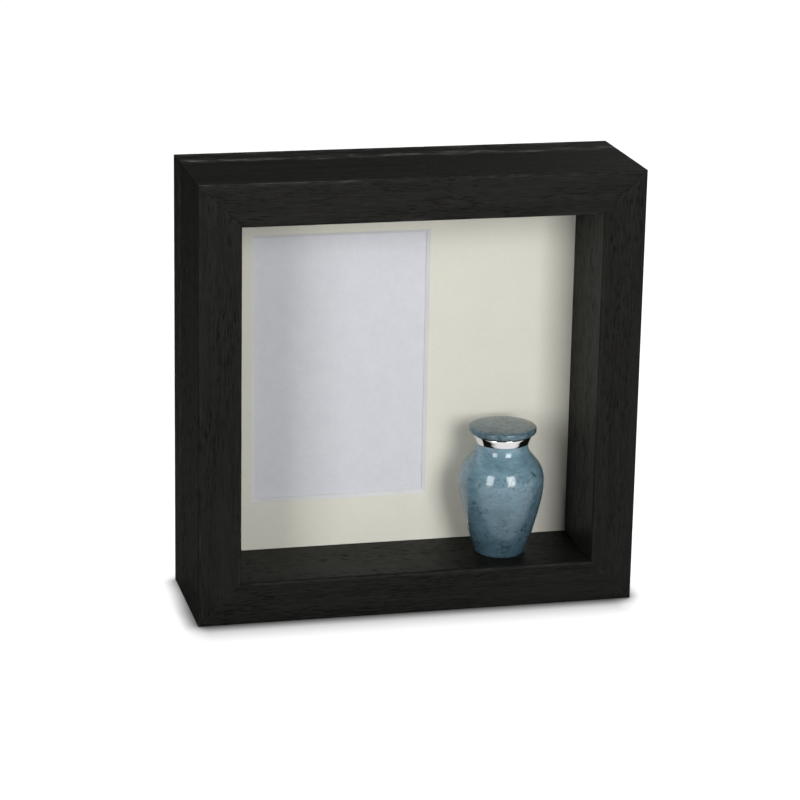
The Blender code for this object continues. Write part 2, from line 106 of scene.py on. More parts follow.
# The urn's turned parts: radii from its axis, and heights above the niche floor.
URN_SEGMENTS = 128
URN_WALL = 0.0016
URN_BODY_TOP = 0.0603
BORE_RADIUS = 0.0107
BORE_TOP = 0.0646
BORE_BOTTOM = 0.0575
BORE_THREAD_DEPTH = 0.00025
BORE_THREAD = (0.0584, 0.0645)
PLUG_RADIUS = 0.0096
PLUG_BOTTOM = 0.0603
PLUG_THREAD_DEPTH = 0.0004
PLUG_THREAD = (0.0609, 0.0658)
THREAD_STEPS = 8
LID_RADIUS = 0.0177
LID_SEAT = 0.0665
LID_SEAT_RADIUS = 0.0150
LID_RIM_BOTTOM = 0.0656
LID_RIM_TOP = 0.0681
LID_TOP = 0.0698
BAND_BORE = 0.0127
WASHER_BORE = 0.0109
PAD_RADIUS = 0.0112

# The metalwork.
REAR_SHANK = 0.0016
BUTTON_SHANK = 0.0012
BUTTON_HEAD_HEIGHT = 0.0017
BUTTON_TIP_RADIUS = 0.0027
BUTTON_HOLE_RADIUS = 0.00145
RIB_RADIUS = 0.0009
RIB_START = 0.0058
TOOTHED_LENGTH = 0.026
TEETH = 11
TOOTH_DEPTH = 0.0010

# The camera: a long lens from the left, above the box. Angles are in degrees.
CAMERA_PLACE = (-0.35772, -1.44910, 0.55428)
CAMERA_YAW = 13.765
CAMERA_PITCH = -16.788
CAMERA_ROLL = 1.0885
CAMERA_LENS = 135.19

# The lamps: azimuth and elevation in degrees, distance, width, height and watts. Azimuth 0 is straight in
# front of the box, and + is to the right.
SOFTBOXES = {
    "left_softbox": (-45, 14, 1.3, 0.42, 0.8, 7.4),
    "right_softbox": (14.5, 14, 1.3, 0.47, 0.8, 10.6),
    "back_softbox": (134, 8, 1.3, 0.5, 0.9, 13.0),
    "overhead_softbox": (180, 82, 1.1, 0.8, 0.5, 7.5),
}

# The room and the floor. Lights are strengths, and the shadow's reach, shift and fade are lengths.
FLOOR_HALF_SIZE = 6.0
CONTACT_REACH = 0.009
ROOM_LIGHT = 0.015
CEILING_LIGHT = 0.05
FLOOR_SHEEN = 0.7
FLOOR_BOUNCE = 0.12
SHADOW_REACH = 0.034
SHADOW_SHIFT = 0.003
SHADOW_FADE = 0.007
SHADOW_DEPTH = 0.75
CONTACT_LIGHT = 0.14

SIDES = {"top": 0, "right": 90, "bottom": 180, "left": 270}
RAIL_WORDS = {"top": "top_rail", "right": "right_stile", "bottom": "bottom_rail", "left": "left_stile"}
BODY_OF = {n: body for body, nodes in frame["record"]["behaviour"]["bodies"].items() for n in nodes}


# Node trees ----------------------------------------------------------------------------------------------

class Tree:
    """A material's or world's nodes, with short calls for the kinds that repeat."""

    def __init__(self, owner):
        owner.use_nodes = True
        self.tree = owner.node_tree

    def add(self, kind, inputs=None, **settings):
        made = self.tree.nodes.new("ShaderNode" + kind)
        for key, value in settings.items():
            setattr(made, key, value)
        for key, value in (inputs or {}).items():
            self.feed(made.inputs[key], value)
        return made

    def feed(self, socket, value):
        if isinstance(value, bpy.types.NodeSocket):
            self.tree.links.new(value, socket)
        else:
            socket.default_value = value

    def maths(self, operation, a, b=0.0):
        return self.add("Math", {0: a, 1: b}, operation=operation, use_clamp=True).outputs[0]

    def remap(self, value, low, high, to_low=0.0, to_high=1.0):
        inputs = {"Value": value, "From Min": low, "From Max": high, "To Min": to_low, "To Max": to_high}
        return self.add("MapRange", inputs).outputs["Result"]

    def mix(self, factor, a, b, blend="MIX"):
        made = self.add("Mix", {0: factor, 6: a, 7: b}, data_type="RGBA", blend_type=blend)
        return made.outputs[2]

    def stretch(self, vector, x, y, z):
        return self.add("VectorMath", {0: vector, 1: (x, y, z)}, operation="MULTIPLY").outputs[0]

    def noise(self, vector, scale=1.0, detail=3.0, roughness=0.55, distortion=0.0):
        inputs = {"Vector": vector, "Scale": scale, "Detail": detail, "Roughness": roughness,
                  "Distortion": distortion}
        return self.add("TexNoise", inputs).outputs["Fac"]

    def attribute(self, name, output):
        return self.add("Attribute", attribute_name=name).outputs[output]

    def object_space(self):
        return self.add("TexCoord").outputs["Object"]

    def bump(self, height, distance, strength=1.0, normal=None):
        inputs = {"Height": height, "Distance": distance, "Strength": strength}
        if normal:
            inputs["Normal"] = normal
        return self.add("Bump", inputs).outputs["Normal"]


def new_material(name, colour=(0.5, 0.5, 0.5), **values):
    """A Principled material with its uniform values set on the shader's own sockets."""
    material = bpy.data.materials.new(name)
    tree = Tree(material)
    shader = material.node_tree.nodes["Principled BSDF"]
    shader.inputs["Base Color"].default_value = (*colour, 1.0)
    for key, value in values.items():
        shader.inputs[key.replace("_", " ").title().replace("Ior", "IOR")].default_value = value
    return material, tree, shader.inputs


def grey(value):
    return (value, value, value, 1.0)


# Materials -----------------------------------------------------------------------------------------------

def wood_material():
    """Black stain on open-grained wood: slow streaks, fine fibre, dark pores, and edges lightened by scuffs
    and by painted highlights.
    """
    material, tree, put = new_material("black_stained_wood", specular_ior_level=0.06)
    grain = tree.attribute("grain", "Vector")
    wear_and_highlight_amount = tree.attribute("wear_and_highlight", "Fac")
    streak = tree.noise(tree.stretch(grain, 9, 210, 210), detail=4, roughness=0.6, distortion=0.4)
    fibre = tree.noise(tree.stretch(grain, 110, 2600, 2600), detail=3, roughness=0.65)
    dash = tree.noise(tree.stretch(grain, 160, 1500, 1500), detail=2, roughness=0.5)
    region = tree.noise(tree.stretch(grain, 16, 70, 70), detail=2)
    pore = tree.maths("MULTIPLY", tree.remap(dash, 0.55, 0.62), tree.remap(region, 0.38, 0.62, 0.2, 1.0))
    stain = tree.mix(tree.remap(streak, 0.3, 0.7), (0.0044, 0.0044, 0.0038, 1), (0.0112, 0.0111, 0.0094, 1))
    stain = tree.mix(tree.remap(fibre, 0.40, 0.75, 0.0, 0.7), stain, (0.0205, 0.0203, 0.0172, 1))
    stain = tree.mix(tree.maths("MULTIPLY", pore, 0.65), stain, (0.0012, 0.0012, 0.0010, 1))
    # The edge mask lightens the stain in streaks: scuffs along the seam and back edges, painted highlights
    # along the front face's eased edges.
    smear = tree.noise(tree.stretch(grain, 62, 300, 300), detail=5, roughness=0.7)
    rubbed_and_highlit = tree.maths("MULTIPLY", tree.remap(smear, 0.50, 0.66), wear_and_highlight_amount)
    thin = tree.maths("MULTIPLY", wear_and_highlight_amount, 0.45)
    stain = tree.mix(thin, stain, (0.0240, 0.0240, 0.0225, 1))
    tree.feed(put["Base Color"], tree.mix(rubbed_and_highlit, stain, (0.150, 0.150, 0.146, 1)))
    rough = tree.remap(fibre, 0.3, 0.7, 0.36, 0.48)
    tree.feed(put["Roughness"], tree.maths("ADD", rough, tree.maths("MULTIPLY", pore, 0.35)))
    height = tree.maths("SUBTRACT", tree.maths("MULTIPLY", fibre, 0.35), tree.maths("MULTIPLY", pore, 0.65))
    height = tree.maths("ADD", tree.maths("ADD", height, 0.5), tree.maths("MULTIPLY", streak, 0.3))
    tree.feed(put["Normal"], tree.bump(height, 0.00015, 0.7))
    return material


def card_material(name, dark, light, scale):
    """Paper faced card: short matted fibres and a faint large mottle."""
    material, tree, put = new_material(name, specular_ior_level=0.2)
    space = tree.object_space()
    fibre = tree.noise(space, scale=scale, detail=5, roughness=0.7, distortion=1.2)
    mottle = tree.noise(space, scale=45, detail=2)
    tone = tree.maths("ADD", tree.maths("MULTIPLY", fibre, 0.7), tree.maths("MULTIPLY", mottle, 0.3))
    tree.feed(put["Base Color"], tree.mix(tree.remap(tone, 0.3, 0.7), (*dark, 1), (*light, 1)))
    tree.feed(put["Roughness"], tree.remap(fibre, 0.3, 0.7, 0.82, 0.94))
    tree.feed(put["Normal"], tree.bump(fibre, 0.00005, 0.5))
    return material


def print_material():
    """The blank photo sheet: cool white with the faint pearl texture of photo paper."""
    material, tree, put = new_material("blank_photo_paper", specular_ior_level=0.3)
    space = tree.object_space()
    pearl = tree.noise(space, scale=900, detail=3, roughness=0.6)
    cloud = tree.noise(space, scale=160, detail=4, roughness=0.65)
    tone = tree.maths("ADD", tree.maths("MULTIPLY", pearl, 0.45), tree.maths("MULTIPLY", cloud, 0.55))
    tree.feed(put["Base Color"], tree.mix(tree.remap(tone, 0.32, 0.68), (0.625, 0.630, 0.672, 1),
                                          (0.685, 0.690, 0.728, 1)))
    tree.feed(put["Roughness"], tree.remap(pearl, 0.3, 0.7, 0.5, 0.66))
    tree.feed(put["Normal"], tree.bump(pearl, 0.00004, 0.5))
    return material


def hardboard_material():
    """Brown hardboard with fibre bundles, flecks and a scuffed surface, its browns painted lighter than bare
    board to stand in for light on the dim back.
    """
    material, tree, put = new_material("brown_hardboard", specular_ior_level=0.3)
    space = tree.object_space()
    fibre = tree.noise(space, scale=420, detail=6, roughness=0.75, distortion=2.5)
    fleck = tree.noise(space, scale=1300, detail=2)
    cloud = tree.noise(space, scale=22, detail=3)
    # Both browns are lighter than bare hardboard: painted light for the dimly lit back.
    brown = tree.mix(tree.remap(fibre, 0.3, 0.7), (0.165, 0.088, 0.042, 1), (0.330, 0.190, 0.100, 1))
    brown = tree.mix(tree.remap(cloud, 0.35, 0.65, 0.0, 0.35), brown, (0.150, 0.085, 0.045, 1))
    flecks = tree.remap(fleck, 0.66, 0.74, 0.0, 0.7)
    tree.feed(put["Base Color"], tree.mix(flecks, brown, (0.05, 0.028, 0.015, 1)))
    tree.feed(put["Roughness"], tree.remap(fibre, 0.3, 0.7, 0.55, 0.8))
    tree.feed(put["Normal"], tree.bump(fibre, 0.0001, 0.6))
    return material


def steel_material():
    """Bright zinc plate: a fine rolled grain, faint blooms and small scratches."""
    material, tree, put = new_material("zinc_plated_steel", metallic=1.0)
    space = tree.object_space()
    rolled = tree.noise(tree.stretch(space, 400, 400, 3500), detail=3)
    bloom = tree.noise(space, scale=260, detail=4, roughness=0.6)
    colour = tree.mix(tree.remap(bloom, 0.35, 0.7), (0.66, 0.66, 0.65, 1), (0.50, 0.50, 0.47, 1))
    lines = tree.remap(rolled, 0.4, 0.8, 0.0, 0.35)
    tree.feed(put["Base Color"], tree.mix(lines, colour, (0.80, 0.80, 0.79, 1)))
    tree.feed(put["Roughness"], tree.remap(bloom, 0.3, 0.7, 0.24, 0.42))
    tree.feed(put["Normal"], tree.bump(rolled, 0.00002, 0.5))
    return material


def enamel_material(name, shade, gloss, smudging):
    """Glossy marbled enamel: blue-grey clouds, thin veins, dark smudges that gather low on the urn, and a
    darkening towards the foot that is partly deeper mottling and partly painted shade.
    """
    material, tree, put = new_material(name, specular_ior_level=gloss, coat_weight=gloss,
                                       coat_roughness=0.03)
    space = tree.object_space()
    height = tree.add("SeparateXYZ", {0: space}).outputs["Z"]
    low = tree.remap(height, FLOOR_Z + 0.058, FLOOR_Z + 0.006)
    cloud = tree.noise(tree.stretch(space, 55, 55, 120), detail=5, roughness=0.6, distortion=0.9)
    vein = tree.noise(tree.stretch(space, 120, 120, 330), detail=5, roughness=0.66, distortion=1.8)
    region = tree.noise(space, scale=110, detail=3)
    speck = tree.noise(tree.stretch(space, 400, 400, 430), detail=6, roughness=0.72, distortion=0.4)
    blue = tree.mix(tree.remap(cloud, 0.34, 0.64), (0.138, 0.245, 0.305, 1), (0.240, 0.385, 0.455, 1))
    blue = tree.mix(tree.remap(vein, 0.46, 0.68, 0.0, 0.42), blue, (0.075, 0.135, 0.180, 1))
    # Darker towards the foot: partly the enamel's deeper mottling, partly painted shade.
    blue = tree.mix(tree.maths("MULTIPLY", low, 0.86), blue, (0.034, 0.070, 0.096, 1))
    crowd = tree.maths("ADD", region, tree.maths("ADD", tree.maths("MULTIPLY", low, 0.12), smudging))
    smudge = tree.maths("MULTIPLY", tree.remap(speck, 0.50, 0.62), tree.remap(crowd, 0.54, 0.68))
    blue = tree.mix(tree.maths("MULTIPLY", smudge, 0.85), blue, (0.020, 0.032, 0.046, 1))
    tree.feed(put["Base Color"], tree.mix(1.0, blue, grey(shade), "MULTIPLY"))
    tree.feed(put["Roughness"], tree.remap(cloud, 0.3, 0.7, 0.13, 0.19))
    tree.feed(put["Normal"], tree.bump(vein, 0.00003, 0.25))
    return material


def chrome_material():
    material, tree, put = new_material("polished_chrome", (0.9, 0.9, 0.9), metallic=1.0)
    space = tree.object_space()
    haze = tree.noise(tree.stretch(space, 300, 300, 2400), detail=3)
    tree.feed(put["Base Color"], tree.mix(haze, grey(0.86), grey(0.95)))
    tree.feed(put["Roughness"], tree.remap(haze, 0.3, 0.8, 0.03, 0.09))
    return material


def brass_material():
    """The lid's bare threaded plug and the urn's inside: dull spun brass."""
    material, tree, put = new_material("spun_brass", metallic=1.0)
    space = tree.object_space()
    spun = tree.noise(tree.stretch(space, 90, 90, 4200), detail=3)
    tree.feed(put["Base Color"], tree.mix(spun, (0.50, 0.36, 0.16, 1), (0.74, 0.56, 0.28, 1)))
    tree.feed(put["Roughness"], tree.remap(spun, 0.3, 0.7, 0.25, 0.45))
    tree.feed(put["Normal"], tree.bump(spun, 0.00003, 0.5))
    return material


def rubber_material():
    material, tree, put = new_material("black_rubber", specular_ior_level=0.35)
    dust = tree.noise(tree.object_space(), scale=900, detail=4)
    tree.feed(put["Base Color"], tree.mix(dust, grey(0.018), grey(0.040)))
    tree.feed(put["Roughness"], tree.remap(dust, 0.3, 0.7, 0.55, 0.75))
    tree.feed(put["Normal"], tree.bump(dust, 0.00003, 0.5))
    return material


def felt_material():
    material, tree, put = new_material("black_felt", sheen_weight=0.5, sheen_roughness=0.5)
    fuzz = tree.noise(tree.object_space(), scale=1800, detail=5, roughness=0.8, distortion=2.0)
    tree.feed(put["Base Color"], tree.mix(fuzz, grey(0.012), grey(0.045)))
    tree.feed(put["Roughness"], tree.remap(fuzz, 0.2, 0.8, 0.85, 1.0))
    tree.feed(put["Normal"], tree.bump(fuzz, 0.0002, 0.8))
    return material


# Mesh helpers --------------------------------------------------------------------------------------------

def side_matrix(degrees):
    """A frame side's own axes: X along the rail, Y the depth from the front face, Z away from the axis."""
    turn = Matrix.Rotation(math.radians(degrees), 4, "Y")
    return Matrix.Translation((0, FRONT_Y, MIDDLE_Z)) @ turn


def facing_back(x, depth, z):
    """Turns local Z to the back, at a point given by x, depth and z."""
    return Matrix.Translation((x, depth, z)) @ Matrix.Rotation(math.radians(-90), 4, "X")


URN_PLACE = Matrix.Translation((URN_X, URN_Y, FLOOR_Z))


def arc(centre, radius, start, end, steps=6):
    """Points of an arc, angles in degrees, both ends included."""
    angles = [math.radians(start + (end - start) * i / steps) for i in range(steps + 1)]
    return [(centre[0] + radius * math.cos(a), centre[1] + radius * math.sin(a)) for a in angles]


def join_loops(bm, loops, closed=False):
    """Skins a row of vertex loops. A loop of one vertex is a pole."""
    pairs = list(zip(loops, loops[1:]))
    if closed:
        pairs.append((loops[-1], loops[0]))
    for first, second in pairs:
        count = max(len(first), len(second))
        for i in range(count):
            j = (i + 1) % count
            corners = [first[i % len(first)], first[j % len(first)],
                       second[j % len(second)], second[i % len(second)]]
            bm.faces.new(list(dict.fromkeys(corners)))


def add_prism(bm, outline, start, end):
    """Extrudes an outline of (x, z) points along Y."""
    ends = [[bm.verts.new((x, y, z)) for x, z in outline] for y in (start, end)]
    join_loops(bm, ends)
    for loop in ends:
        bm.faces.new(loop)


def add_lathe(bm, profile, segments, place=Matrix(), ring=False, helix=None):
    """Turns a profile of (radius, height) points. helix, where given, takes radius, angle and height, and
    returns what a thread adds to the radius there."""
    loops = []
    for radius, height in profile:
        count = 1 if radius == 0 else segments
        loop = []
        for i in range(count):
            angle = 2 * math.pi * i / count
            reach = radius + (helix(radius, angle, height) if helix and radius else 0)
            spot = Vector((reach * math.cos(angle), reach * math.sin(angle), height))
            loop.append(bm.verts.new(place @ spot))
        loops.append(loop)
    join_loops(bm, loops, closed=ring)


def rectangle(x0, x1, z0, z1):
    return [(x0, z0), (x1, z0), (x1, z1), (x0, z1)]


def new_object(name, bm, place=Matrix()):
    """An object with its place baked into the mesh, so that object space is the frame's space at rest."""
    bmesh.ops.recalc_face_normals(bm, faces=bm.faces)
    mesh = bpy.data.meshes.new(name)
    bm.to_mesh(mesh)
    bm.free()
    mesh.transform(place)
    obj = bpy.data.objects.new(name, mesh)
    bpy.context.scene.collection.objects.link(obj)
    return obj


def apply_modifiers(obj):
    """Swaps the object's mesh for the one its modifiers give."""
    graph = bpy.context.evaluated_depsgraph_get()
    mesh = bpy.data.meshes.new_from_object(obj.evaluated_get(graph), depsgraph=graph)
    obj.modifiers.clear()
    obj.data = mesh


def cut(obj, *tools):
    """Takes the tools, given as meshes under construction in frame space, out of the object."""
    cutters = [new_object("cutter", tool) for tool in tools]
    for cutter in cutters:
        boolean = obj.modifiers.new("cut", "BOOLEAN")
        boolean.operation = "DIFFERENCE"
        boolean.object = cutter
    apply_modifiers(obj)
    for cutter in cutters:
        bpy.data.objects.remove(cutter)


def soften(obj, width, segments=2, angle=30):
    """Rounds the sharp edges."""
    bevel = obj.modifiers.new("soft_edges", "BEVEL")
    bevel.width = width
    bevel.segments = segments
    bevel.limit_method = "ANGLE"
    bevel.angle_limit = math.radians(angle)
    bevel.harden_normals = False
    apply_modifiers(obj)


def shade(obj, degrees=35):
    obj.data.shade_smooth()
    obj.data.set_sharp_from_angle(angle=math.radians(degrees))


def stand_in(obj, node, *materials):
    """Gives a piece its materials, and puts it in the place of a CAD node."""
    obj.data.materials.clear()
    for material in materials:
        obj.data.materials.append(material)
    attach(obj, BODY_OF[node])
    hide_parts(node)


# Woodwork ------------------------------------------------------------------------------------------------

def add_edge_points(profile, closed_spacing=0.006):
    """Splits the long straight stretches of a profile, closer together near their ends."""
    points = []
    for (r0, d0), (r1, d1) in zip(profile, profile[1:] + profile[:1]):
        points.append((r0, d0))
        length = math.hypot(r1 - r0, d1 - d0)
        if length < 0.003:
            continue
        middle = int(length / closed_spacing)
        marks = [0.0005, 0.0012, 0.0025, 0.0040] + [length * (i + 1) / (middle + 1) for i in range(middle)]
        marks = [m for m in marks if m < length - 0.0014] + [length - 0.0012, length - 0.0005]
        marks = sorted(set(marks))
        points += [(r0 + (r1 - r0) * m / length, d0 + (d1 - d0) * m / length) for m in marks]
    return points


def front_profile():
    inner = arc((NICHE + FRONT_INNER_EASE, FRONT_INNER_EASE), FRONT_INNER_EASE, 180, 270)
    outer = arc((OUTER - FRONT_OUTER_EASE, FRONT_OUTER_EASE), FRONT_OUTER_EASE, 270, 360)
    back = (SEAM + REAR_START) / 2 - JOINT_HALF_GAP
    seam = [(OUTER, back - SEAM_CHAMFER), (OUTER - SEAM_CHAMFER, back)]
    rebate = [(REBATE_RADIUS, back), (REBATE_RADIUS, REBATE_START), (NICHE, REBATE_START)]
    return inner + outer + seam + rebate


def rear_profile():
    front = (SEAM + REAR_START) / 2 + JOINT_HALF_GAP
    back = arc((OUTER - BACK_EASE, DEPTH - BACK_EASE), BACK_EASE, 0, 90, 5)
    return [(REAR_INNER, front), (OUTER - SEAM_CHAMFER, front), (OUTER, front + SEAM_CHAMFER)] + back + [
        (REAR_INNER, DEPTH)]


def rail_object(name, profile):
    bm = bmesh.new()
    loops = []
    for i in range(RAIL_STATIONS + 1):
        along = 2 * i / RAIL_STATIONS - 1
        loops.append([bm.verts.new((along * (radius - JOINT_HALF_GAP * math.sqrt(2)), depth, radius))
                      for radius, depth in profile])
    join_loops(bm, loops)
    for loop in (loops[0], loops[-1]):
        bm.faces.new(loop)
    rail = new_object(name, bm)
    soften(rail, CRISP_EDGE, 2, 40)
    return rail


def nearness(distance, reach):
    """1 on an edge, falling smoothly to 0 at reach from it."""
    t = max(0.0, 1 - distance / reach)
    return t * t * (3 - 2 * t)


def dent_rail(rail, edges, offset):
    """Dents the long edges a little, while the mesh is still in the rail's own axes.

    edges are (radius, depth, scuff and highlight amount, dent, reach) of the long edges, and offset picks the
    rail's own noise.
    """
    centre = Vector((0, sum(e[1] for e in edges) / len(edges), sum(e[0] for e in edges) / len(edges)))
    for vertex in rail.data.vertices:
        along, depth, radius = vertex.co
        dent = 0.0
        for edge_radius, edge_depth, _, deepest, _ in edges:
            near = nearness(math.hypot(radius - edge_radius, depth - edge_depth), DENT_REACH)
            if near:
                spot = noise.noise(Vector((along * 160, edge_radius * 90, edge_depth * 90)) + offset)
                knock = noise.noise(Vector((along * 520, edge_depth * 70, edge_radius * 50)) + offset * 2)
                dent = max(dent, near * deepest * max(0.0, spot + 0.6 * knock - 0.12))
        if dent:
            inward = centre - Vector((0, depth, radius))
            inward.x = 0
            vertex.co += inward.normalized() * dent


def mark_rail(rail, edges, base, edge_mark_scale, offset, place):
    """Stores the grain's coordinates and the mask of scuffs and painted highlights for the material, after
    the rail is cut and in its place.

    base is the mask away from the edges, the scale after it multiplies the marks along the edges, and place
    is what moved the rail from its own axes.
    """
    mesh = rail.data
    mesh.attributes.new("grain", "FLOAT_VECTOR", "POINT")
    mesh.attributes.new("wear_and_highlight", "FLOAT", "POINT")
    grain, wear_and_highlight = mesh.attributes["grain"], mesh.attributes["wear_and_highlight"]
    own_axes = place.inverted()
    for i, vertex in enumerate(mesh.vertices):
        spot = own_axes @ vertex.co
        along, depth, radius = spot
        grain.data[i].vector = spot + offset
        wear_and_highlight_amount = max(base, MITRE_WEAR * nearness(radius - abs(along), 0.0006))
        for edge_radius, edge_depth, amount, _, reach in edges:
            close = nearness(math.hypot(radius - edge_radius, depth - edge_depth), reach)
            wear_and_highlight_amount = max(wear_and_highlight_amount, amount * edge_mark_scale * close)
        wear_and_highlight.data[i].value = wear_and_highlight_amount


def slot_outline(node_box):
    """The L-shaped slot of a V nail at the top right corner, in frame space, just clear of the nail."""
    low, high = node_box
    play = 0.0001
    thick = 0.0006
    x0, x1, z0, z1 = low.x - play, high.x + play, low.z - play, high.z + play
    x2, z2 = low.x + thick + play, low.z + thick + play
    return [(x0, z0), (x1, z0), (x1, z2), (x2, z2), (x2, z1), (x0, z1)]


def nail_slots(prefix):
    """Tools for the slots of one frame's four V nails, in frame space."""
    tools = bmesh.new()
    low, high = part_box(prefix + "_v_nail_top_right")
    outline = [(x, z - MIDDLE_Z) for x, z in slot_outline((low, high))]
    for quarter in range(4):
        turn = Matrix.Rotation(math.radians(90 * quarter), 4, "Y")
        piece = bmesh.new()
        add_prism(piece, outline, low.y - 0.0002, high.y + 0.002)
        piece.transform(Matrix.Translation((0, 0, MIDDLE_Z)) @ turn)
        merge(tools, piece)
    return tools


def merge(target, source):
    """Adds one mesh under construction to another and frees it."""
    mesh = bpy.data.meshes.new("merge")
    source.to_mesh(mesh)
    source.free()
    target.from_mesh(mesh)
    bpy.data.meshes.remove(mesh)


def screw_centre(node):
    low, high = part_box(node)
    return (low + high) / 2


def screw_holes(nodes, profile, back):
    """Round tools that end at the back depth, one at each screw's axis."""
    tools = bmesh.new()
    for node in nodes:
        middle = screw_centre(node)
        piece = bmesh.new()
        add_lathe(piece, profile, 32, facing_back(middle.x, back, middle.z))
        merge(tools, piece)
    return tools


def countersink_profile():
    low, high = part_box("rear_screw_top_a")
    head = (high.x - low.x) / 2
    shank = 0.0018
    length = DEPTH - SEAM + 0.002
    mouth = head + 0.0002
    return [(0, -length), (shank, -length), (shank, shank - mouth), (mouth, 0), (mouth, 0.001), (0, 0.001)]


def make_rails(wood):
    """The eight rails, cut for their fasteners, with dented edges that the material lightens with scuffs and
    painted highlights.
    """
    fronts = add_edge_points(front_profile())
    rears = add_edge_points(rear_profile())
    back = (SEAM + REAR_START) / 2
    # Each edge's third value lightens the stain along it: on the front face's inner and outer eased edges
    # this is a painted highlight, at the seam and at the back it is scuffed streaks.
    front_edges = [(NICHE, 0, 0.2, 0.0001, 0.0022), (OUTER, 0, 0.25, 0.00012, 0.002),
                   (OUTER, back, 0.9, 0.0003, 0.004)]
    rear_edges = [(OUTER, back, 1.0, 0.0004, 0.007), (OUTER, DEPTH, 0.9, 0.00015, 0.004),
                  (REAR_INNER, DEPTH, 0.3, 0.00005, 0.001)]
    frames = (("front", fronts, front_edges, 0.0), ("rear", rears, rear_edges, 0.08))
    for index, (side, degrees) in enumerate(SIDES.items()):
        place = side_matrix(degrees)
        for part, profile, edges, base in frames:
            node = f"{part}_{RAIL_WORDS[side]}"
            rng = random.Random(index * 7 + len(part))
            offset = Vector([rng.uniform(-5, 5) for _ in range(3)])
            rail = rail_object(node + "_wood", profile)
            dent_rail(rail, edges, offset)
            rail.data.transform(place)
            cut(rail, *rail_tools(part, side))
            edge_mark_scale = 1.0 if side == "top" else STILE_WEAR_AND_HIGHLIGHT
            mark_rail(rail, edges, base, edge_mark_scale, offset, place)
            shade(rail, 30)
            stand_in(rail, node, wood)


def rail_tools(part, side):
    tools = [nail_slots(part)]
    if part == "rear":
        names = [f"rear_screw_{side}_{end}" for end in "ab"]
        tools.append(screw_holes(names, countersink_profile(), FRONT_Y + DEPTH))
        if side == "top":
            tools += hanger_tools()
    return tools


def hanger_tools():
    """The hanger's bed and the pocket behind its teeth."""
    low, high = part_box("sawtooth_hanger")
    back = FRONT_Y + DEPTH
    bed = bmesh.new()
    add_prism(bed, rectangle(low.x - 0.0002, high.x + 0.0002, low.z - 0.0026, high.z + 0.0002),
              back - 0.0011, back + 0.001)
    pocket = bmesh.new()
    half = TOOTHED_LENGTH / 2
    add_prism(pocket, rectangle(-half, half, low.z - 0.0023, high.z - 0.0004), back - 0.005, back - 0.0005)
    return [bed, pocket]


# The stack in the rebate ---------------------------------------------------------------------------------

def make_mat(card, core):
    """The window mat: cream face, white core showing on the window's 45 degree bevel."""
    thickness = MAT_BACK - MAT_FRONT
    front = FRONT_Y + MAT_FRONT
    back = FRONT_Y + MAT_BACK
    window = (WINDOW_LEFT, WINDOW_RIGHT, WINDOW_BOTTOM, WINDOW_TOP)

    def grown(by):
        return rectangle(window[0] - by, window[1] + by, window[2] - by, window[3] + by)

    board = rectangle(-MAT_RADIUS, MAT_RADIUS, MIDDLE_Z - MAT_RADIUS, MIDDLE_Z + MAT_RADIUS)
    layers = [(board, front), (board, back), (grown(0), back), (grown(0.0001), back - 0.0003),
              (grown(thickness - 0.0001), front + 0.0002), (grown(thickness + 0.0001), front)]
    bm = bmesh.new()
    loops = [[bm.verts.new((x, y, z)) for x, z in outline] for outline, y in layers]
    join_loops(bm, loops, closed=True)
    mat = new_object("mat_board_card", bm)
    stand_in(mat, "mat_board", card, core)
    for polygon in mat.data.polygons:
        slanted = 0.2 < abs(polygon.normal.y) < 0.98
        edge = abs(polygon.normal.y) < 0.2
        polygon.material_index = 1 if slanted or edge else 0
    shade(mat, 20)


def make_print(paper):
    """The blank print, a thin sheet that bows very slightly."""
    low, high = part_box("photo_print")
    columns, rows = 20, 30
    bm = bmesh.new()
    sheets = []
    for y in (low.y, high.y):
        grid = []
        for r in range(rows + 1):
            z = low.z + (high.z - low.z) * r / rows
            line = []
            for c in range(columns + 1):
                x = low.x + (high.x - low.x) * c / columns
                bow = 0.00008 * math.sin(math.pi * r / rows) * math.sin(math.pi * c / columns)
                line.append(bm.verts.new((x, y - bow, z)))
            grid.append(line)
        sheets.append(grid)
    for grid in sheets:
        for lower, upper in zip(grid, grid[1:]):
            for c in range(columns):
                bm.faces.new((lower[c], lower[c + 1], upper[c + 1], upper[c]))

    def rim(grid):
        return (grid[0] + [line[-1] for line in grid[1:]] + grid[-1][-2::-1]
                + [line[0] for line in grid[-2:0:-1]])

    join_loops(bm, [rim(sheets[0]), rim(sheets[1])])
    sheet = new_object("photo_print_paper", bm)
    shade(sheet, 40)
    stand_in(sheet, "photo_print", paper)


def make_backing(board):
    """The hardboard back, its corners and edges slightly knocked."""
    low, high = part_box("backing_board")
    corner = 0.0015
    outline = []
    for (x, z), start in (((high.x - corner, high.z - corner), 0), ((low.x + corner, high.z - corner), 90),
                          ((low.x + corner, low.z + corner), 180), ((high.x - corner, low.z + corner), 270)):
        outline += arc((x, z), corner, start, start + 90, 5)
    bm = bmesh.new()
    add_prism(bm, outline, low.y, high.y)
    backing = new_object("backing_board_hardboard", bm)
    soften(backing, 0.0003, 2, 40)
    shade(backing, 40)
    stand_in(backing, "backing_board", board)


# Metalwork -----------------------------------------------------------------------------------------------

